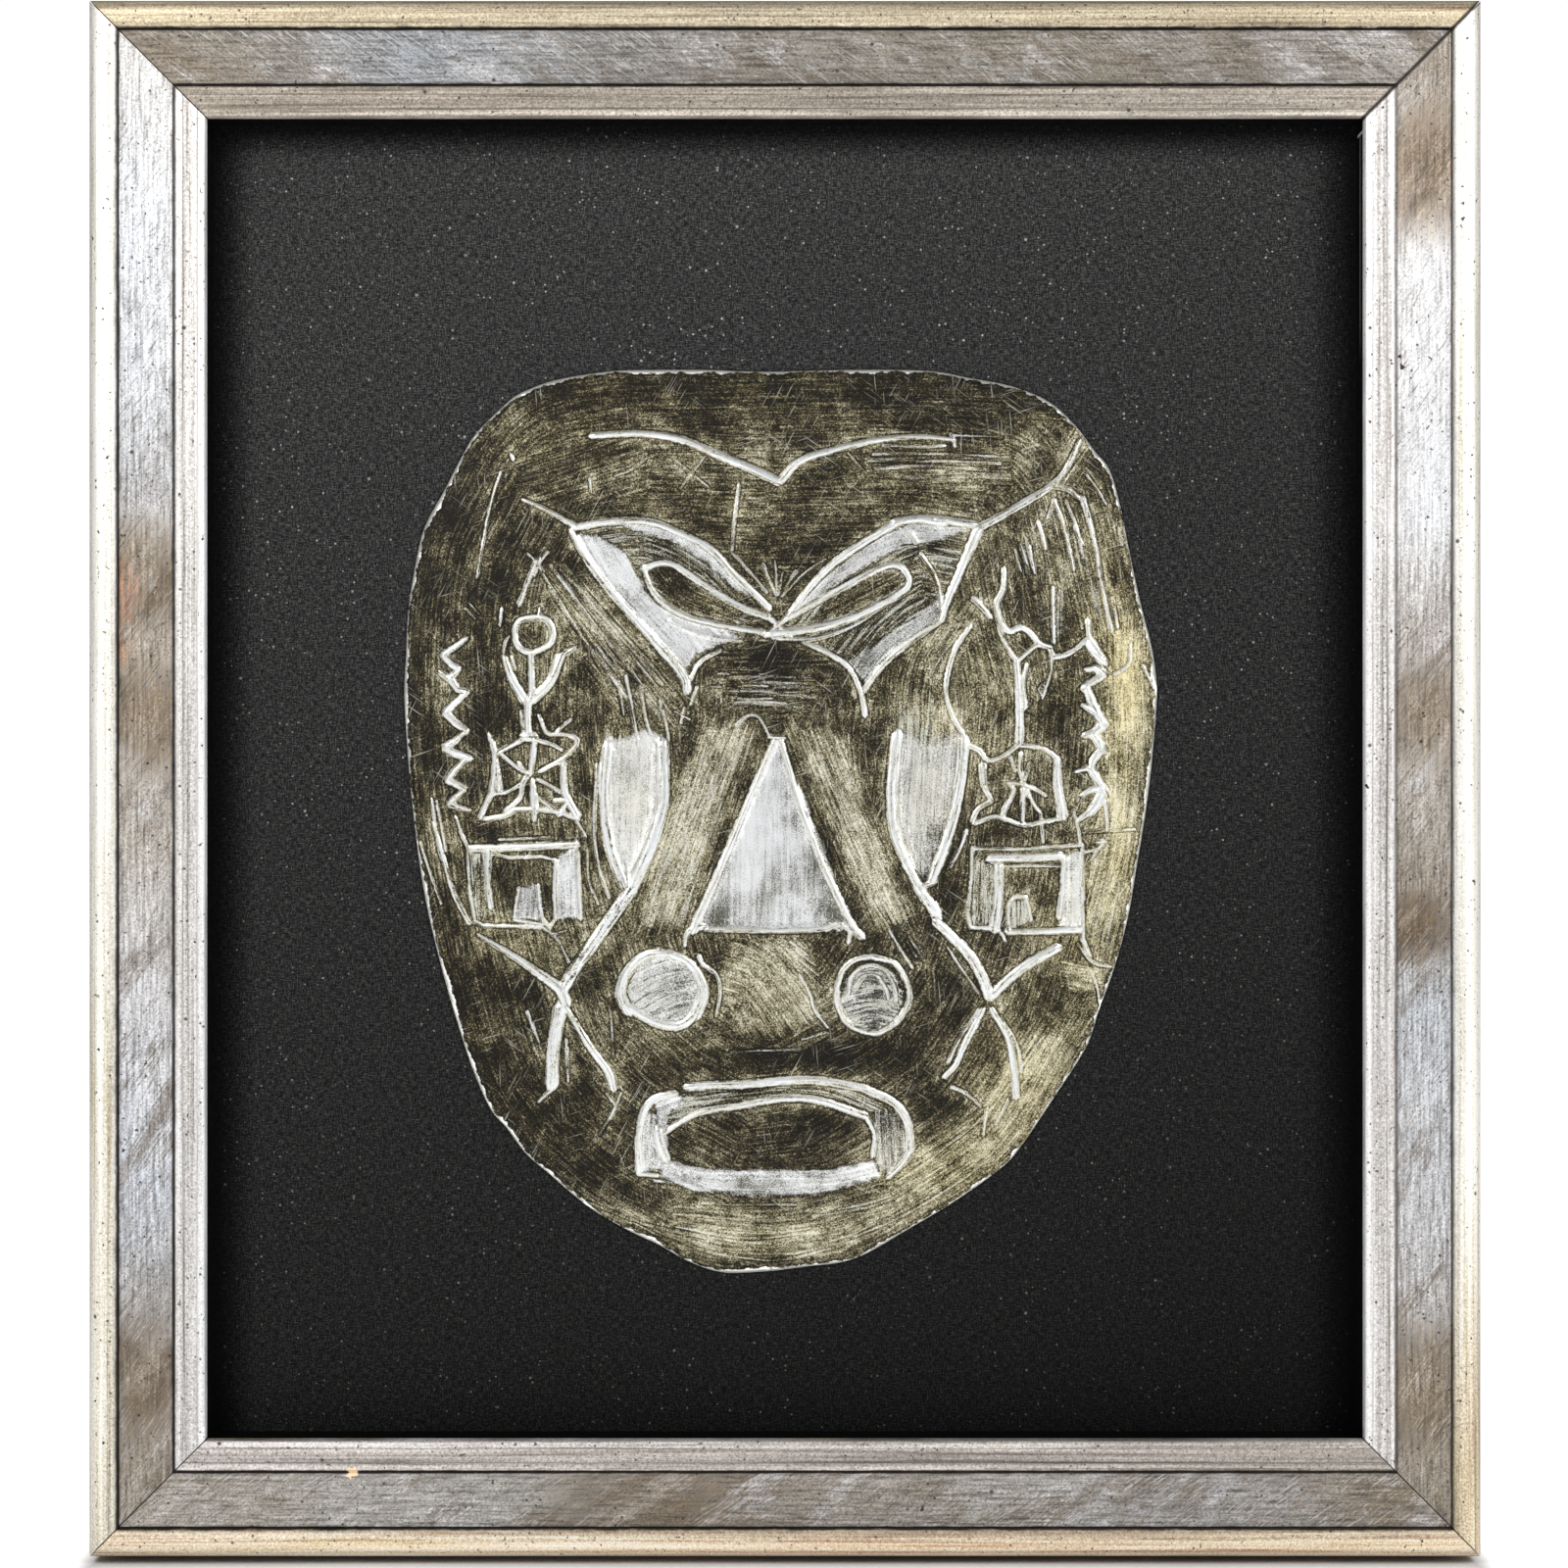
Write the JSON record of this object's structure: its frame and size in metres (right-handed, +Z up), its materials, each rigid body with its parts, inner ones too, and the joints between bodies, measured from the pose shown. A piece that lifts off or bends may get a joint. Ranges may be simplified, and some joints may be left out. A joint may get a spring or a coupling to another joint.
{
  "type": "framed metal mask",
  "caption": "Flat, low-domed mask embossed in patinated metal sheet, on a black board inside a deep mitred picture frame made to hang on a wall.",
  "frame": {"origin": "middle of the flat back of the top rail, where the frame bears on the wall", "axes": "+Y points at the wall, so the mask looks along -Y; +Z up; +X to the viewer's right"},
  "size_m": [0.4276, 0.036, 0.4784],
  "materials": {
    "moulding": "wood under brushed, antiqued silver and champagne leaf, worn and flecked",
    "box_lining": "matt black lined foam strip",
    "black_board": "matt black fabric-grained board, dusty",
    "mask_sheet": "thin embossed sheet, dark patina rubbed bright on the raised lines",
    "back_board": "plain brown hardboard",
    "steel": "plain thin steel"
  },
  "bodies": {
    "root": {"frame_rail_top": "moulding", "frame_rail_bottom": "moulding", "frame_rail_left": "moulding", "frame_rail_right": "moulding", "spacer_top": "box_lining", "spacer_bottom": "box_lining", "spacer_left": "box_lining", "spacer_right": "box_lining", "mount_board": "black_board", "mask": "mask_sheet", "back_board": "back_board", "board_point_top_1": "steel", "board_point_top_2": "steel", "board_point_bottom_1": "steel", "board_point_bottom_2": "steel", "board_point_left_1": "steel", "board_point_left_2": "steel", "board_point_left_3": "steel", "board_point_right_1": "steel", "board_point_right_2": "steel", "board_point_right_3": "steel", "hanger": "steel", "hanger_rivet_left": "steel", "hanger_rivet_right": "steel"}
  },
  "joints": []
}
